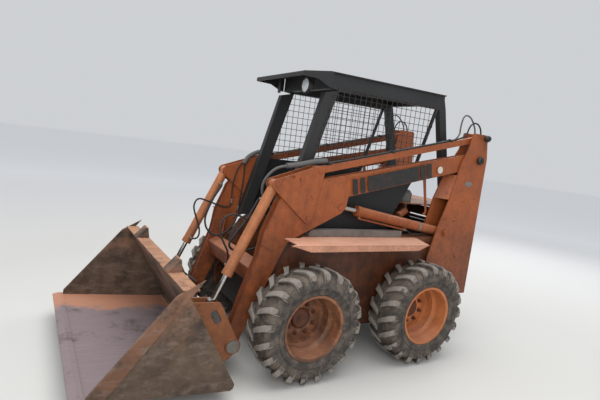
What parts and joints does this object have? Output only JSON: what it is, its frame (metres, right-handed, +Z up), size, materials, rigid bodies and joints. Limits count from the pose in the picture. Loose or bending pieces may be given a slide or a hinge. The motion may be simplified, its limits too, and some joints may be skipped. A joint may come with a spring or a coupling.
{
  "type": "skid steer loader",
  "caption": "Worn orange skid steer loader with a low toothless dirt bucket, black open cab frame and lugged tyres.",
  "frame": {"origin": "on the ground under the middle of the whole machine, halfway between its ends and its sides", "axes": "+X forward to the bucket, +Y to the machine's left, +Z up"},
  "size_m": [3.131, 1.62, 2.082],
  "materials": {
    "tyre_rubber": "matte",
    "orange_paint": "satin",
    "dark_paint": "satin",
    "grey_paint": "satin",
    "rusty_steel": "matte",
    "worn_steel": "satin",
    "chromed_rod": "polished",
    "engine_iron": "matte",
    "seat_vinyl": "satin"
  },
  "bodies": {
    "chassis": {"axle_housings": "grey_paint", "chain_housings": "orange_paint", "steps": "orange_paint", "sills": "grey_paint", "side_panels": "dark_paint", "belly_pan": "dark_paint", "cab_floor": "dark_paint", "tower_left": "orange_paint", "tower_right": "orange_paint", "rear_frame": "orange_paint", "engine_hood": "orange_paint", "engine_block": "engine_iron", "seat_cushion": "seat_vinyl", "seat_back": "seat_vinyl", "control_levers": "dark_paint", "rops_frame": "dark_paint", "side_screens": "dark_paint", "rops_roof": "dark_paint", "work_lamp": "dark_paint"},
    "wheel_front_left": {"tyre_front_left": "tyre_rubber", "rim_front_left": "orange_paint"},
    "wheel_front_right": {"tyre_front_right": "tyre_rubber", "rim_front_right": "orange_paint"},
    "wheel_rear_left": {"tyre_rear_left": "tyre_rubber", "rim_rear_left": "orange_paint"},
    "wheel_rear_right": {"tyre_rear_right": "tyre_rubber", "rim_rear_right": "orange_paint"},
    "rear_door": {"rear_door": "orange_paint"},
    "lift_arms": {"lift_arm_left": "orange_paint", "lift_arm_right": "orange_paint", "arm_cross_member": "orange_paint"},
    "bell_cranks": {"bell_crank_left": "orange_paint", "bell_crank_right": "orange_paint"},
    "levelling_links": {"levelling_link_left": "orange_paint", "levelling_link_right": "orange_paint"},
    "lift_barrels": {"lift_barrel_left": "orange_paint", "lift_barrel_right": "orange_paint"},
    "lift_rods": {"lift_rod_left": "chromed_rod", "lift_rod_right": "chromed_rod"},
    "tilt_barrels": {"tilt_barrel_left": "grey_paint", "tilt_barrel_right": "grey_paint"},
    "tilt_rods": {"tilt_rod_left": "chromed_rod", "tilt_rod_right": "chromed_rod"},
    "bucket_pins": {"bucket_pins": "worn_steel"},
    "bucket": {"bucket_coupler": "rusty_steel", "bucket_shell": "rusty_steel", "cutting_edge": "worn_steel"}
  },
  "joints": [
    {"name": "lift", "type": "hinge", "parent": "chassis", "child": "lift_arms", "pos_m": [-1.465, 0, 1.596], "axis": [0, -1, 0], "range_deg": [0, 68]},
    {"name": "bell_crank", "type": "hinge", "parent": "lift_arms", "child": "bell_cranks", "pos_m": [0.151, 0, 1.058], "axis": [0, -1, 0], "range_deg": [-38.34, 0.5]},
    {"name": "levelling_link", "type": "hinge", "parent": "chassis", "child": "levelling_links", "pos_m": [-1.505, 0, 1.784], "axis": [0, -1, 0], "range_deg": [-0.5, 70.1]},
    {"name": "lift_barrel", "type": "hinge", "parent": "chassis", "child": "lift_barrels", "pos_m": [-1.187, 0, 0.972], "axis": [0, -1, 0], "range_deg": [-0.5, 60.58]},
    {"name": "lift_rod", "type": "slide", "parent": "lift_barrels", "child": "lift_rods", "axis": [0.9873, 0, 0.1591], "range_m": [-0.002, 0.741]},
    {"name": "bucket_level", "type": "hinge", "parent": "lift_arms", "child": "bucket_pins", "pos_m": [0.602, 0, 0.21], "axis": [0, -1, 0], "range_deg": [-41, 0.5]},
    {"name": "bucket_tilt", "type": "hinge", "parent": "bucket_pins", "child": "bucket", "pos_m": [0.602, 0, 0.21], "axis": [0, -1, 0], "range_deg": [-60, 20]},
    {"name": "tilt_barrel", "type": "hinge", "parent": "bell_cranks", "child": "tilt_barrels", "pos_m": [0.408, 0, 1.268], "axis": [0, -1, 0], "range_deg": [-0.5, 43.65]},
    {"name": "tilt_rod", "type": "slide", "parent": "tilt_barrels", "child": "tilt_rods", "axis": [0.4073, 0, -0.9133], "range_m": [-0.1032, 0.3057]},
    {"name": "rear_door_hinge", "type": "hinge", "parent": "chassis", "child": "rear_door", "pos_m": [-1.55, -0.358, 0.8], "axis": [0, 0, 1], "range_deg": [0, 100]},
    {"name": "wheel_front_left_axle", "type": "hinge", "parent": "chassis", "child": "wheel_front_left", "pos_m": [0.16, 0.63, 0.388], "axis": [0, 1, 0], "continuous": true},
    {"name": "wheel_rear_left_axle", "type": "hinge", "parent": "chassis", "child": "wheel_rear_left", "pos_m": [-0.847, 0.63, 0.388], "axis": [0, 1, 0], "continuous": true},
    {"name": "wheel_front_right_axle", "type": "hinge", "parent": "chassis", "child": "wheel_front_right", "pos_m": [0.16, -0.63, 0.388], "axis": [0, 1, 0], "continuous": true},
    {"name": "wheel_rear_right_axle", "type": "hinge", "parent": "chassis", "child": "wheel_rear_right", "pos_m": [-0.847, -0.63, 0.388], "axis": [0, 1, 0], "continuous": true}
  ],
  "couplings": [
    {"joint": "bell_crank", "follows": "lift", "ratio": -0.5565},
    {"joint": "levelling_link", "follows": "lift", "ratio": 1.0235},
    {"joint": "lift_barrel", "follows": "lift", "ratio": 0.8836},
    {"joint": "lift_rod", "follows": "lift", "m_per_rad": 0.6227},
    {"joint": "bucket_level", "follows": "lift", "ratio": -0.5956},
    {"joint": "tilt_barrel", "follows": "lift", "ratio": 0.6345},
    {"joint": "tilt_rod", "follows": "bucket_tilt", "m_per_rad": -0.29}
  ]
}
